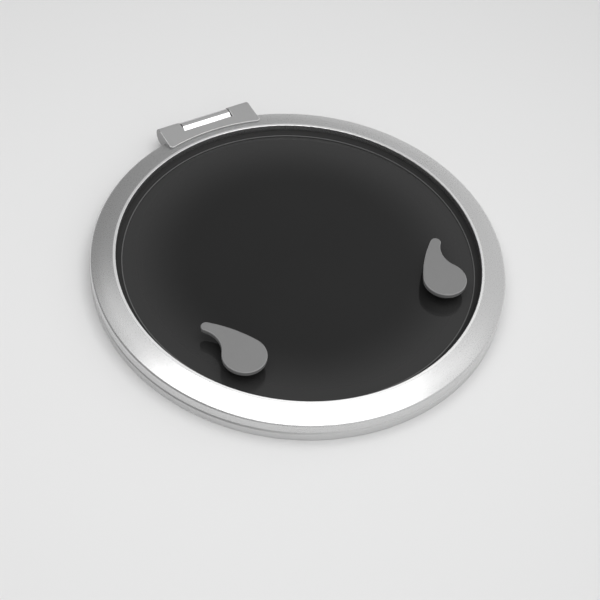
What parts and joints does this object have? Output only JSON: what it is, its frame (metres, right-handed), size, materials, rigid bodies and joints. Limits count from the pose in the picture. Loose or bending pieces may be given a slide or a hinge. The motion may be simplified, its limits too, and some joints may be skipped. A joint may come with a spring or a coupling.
{
  "type": "opening porthole",
  "caption": "Round opening porthole for a deck or coaming: smoked pane in a domed hinged ring, lever latches through the pane, low base ring with a seal.",
  "frame": {"origin": "centre of the base ring, on its mounting face", "axes": "+Z out of the mounting face towards the lid, +Y towards the hinge; the lid is closed and unlatched"},
  "size_m": [0.34, 0.3513, 0.0274],
  "materials": {
    "base_aluminium": "satin anodised",
    "lid_aluminium": "satin anodised, bright land",
    "leaf_grey": "fine matt grey powder coat",
    "smoked_acrylic": "polished smoked acrylic",
    "rubber": "matt black",
    "stainless": "turned",
    "nylon": "moulded",
    "latch_black": "moulded",
    "lever_grey": "satin grey"
  },
  "bodies": {
    "base": {"base_frame": "base_aluminium", "compression_gasket": "rubber", "hinge_lug": "base_aluminium", "lug_screws": "stainless", "hinge_bushes": "nylon"},
    "lid": {"lid_frame": "lid_aluminium", "smoked_pane": "smoked_acrylic", "glazing_seal": "rubber", "retaining_ring": "lid_aluminium", "hinge_leaf": "leaf_grey", "leaf_screws": "stainless", "hinge_pin": "stainless", "hinge_end_plug": "nylon", "right_bush_washer": "nylon", "right_latch_bush": "latch_black", "right_inner_washer": "nylon", "right_latch_nut": "latch_black", "right_thrust_washer": "nylon", "left_bush_washer": "nylon", "left_latch_bush": "latch_black", "left_inner_washer": "nylon", "left_latch_nut": "latch_black", "left_thrust_washer": "nylon"},
    "right_latch": {"right_latch_spindle": "stainless", "right_o_ring": "rubber", "right_lever": "lever_grey", "right_lever_pin": "stainless", "right_cam_lever": "lever_grey", "right_cam_screw": "stainless"},
    "left_latch": {"left_latch_spindle": "stainless", "left_o_ring": "rubber", "left_lever": "lever_grey", "left_lever_pin": "stainless", "left_cam_lever": "lever_grey", "left_cam_screw": "stainless"}
  },
  "joints": [
    {"name": "lid_hinge", "type": "hinge", "parent": "base", "child": "lid", "pos_m": [0, 0.1743, 0.0153], "axis": [-1, 0, 0], "range_deg": [0, 180]},
    {"name": "right_latch_turn", "type": "hinge", "parent": "lid", "child": "right_latch", "pos_m": [0.09122, -0.07736, 0.0105], "axis": [0, 0, 1], "range_deg": [0, 90]},
    {"name": "left_latch_turn", "type": "hinge", "parent": "lid", "child": "left_latch", "pos_m": [-0.09122, -0.07736, 0.0105], "axis": [0, 0, -1], "range_deg": [0, 90]}
  ]
}
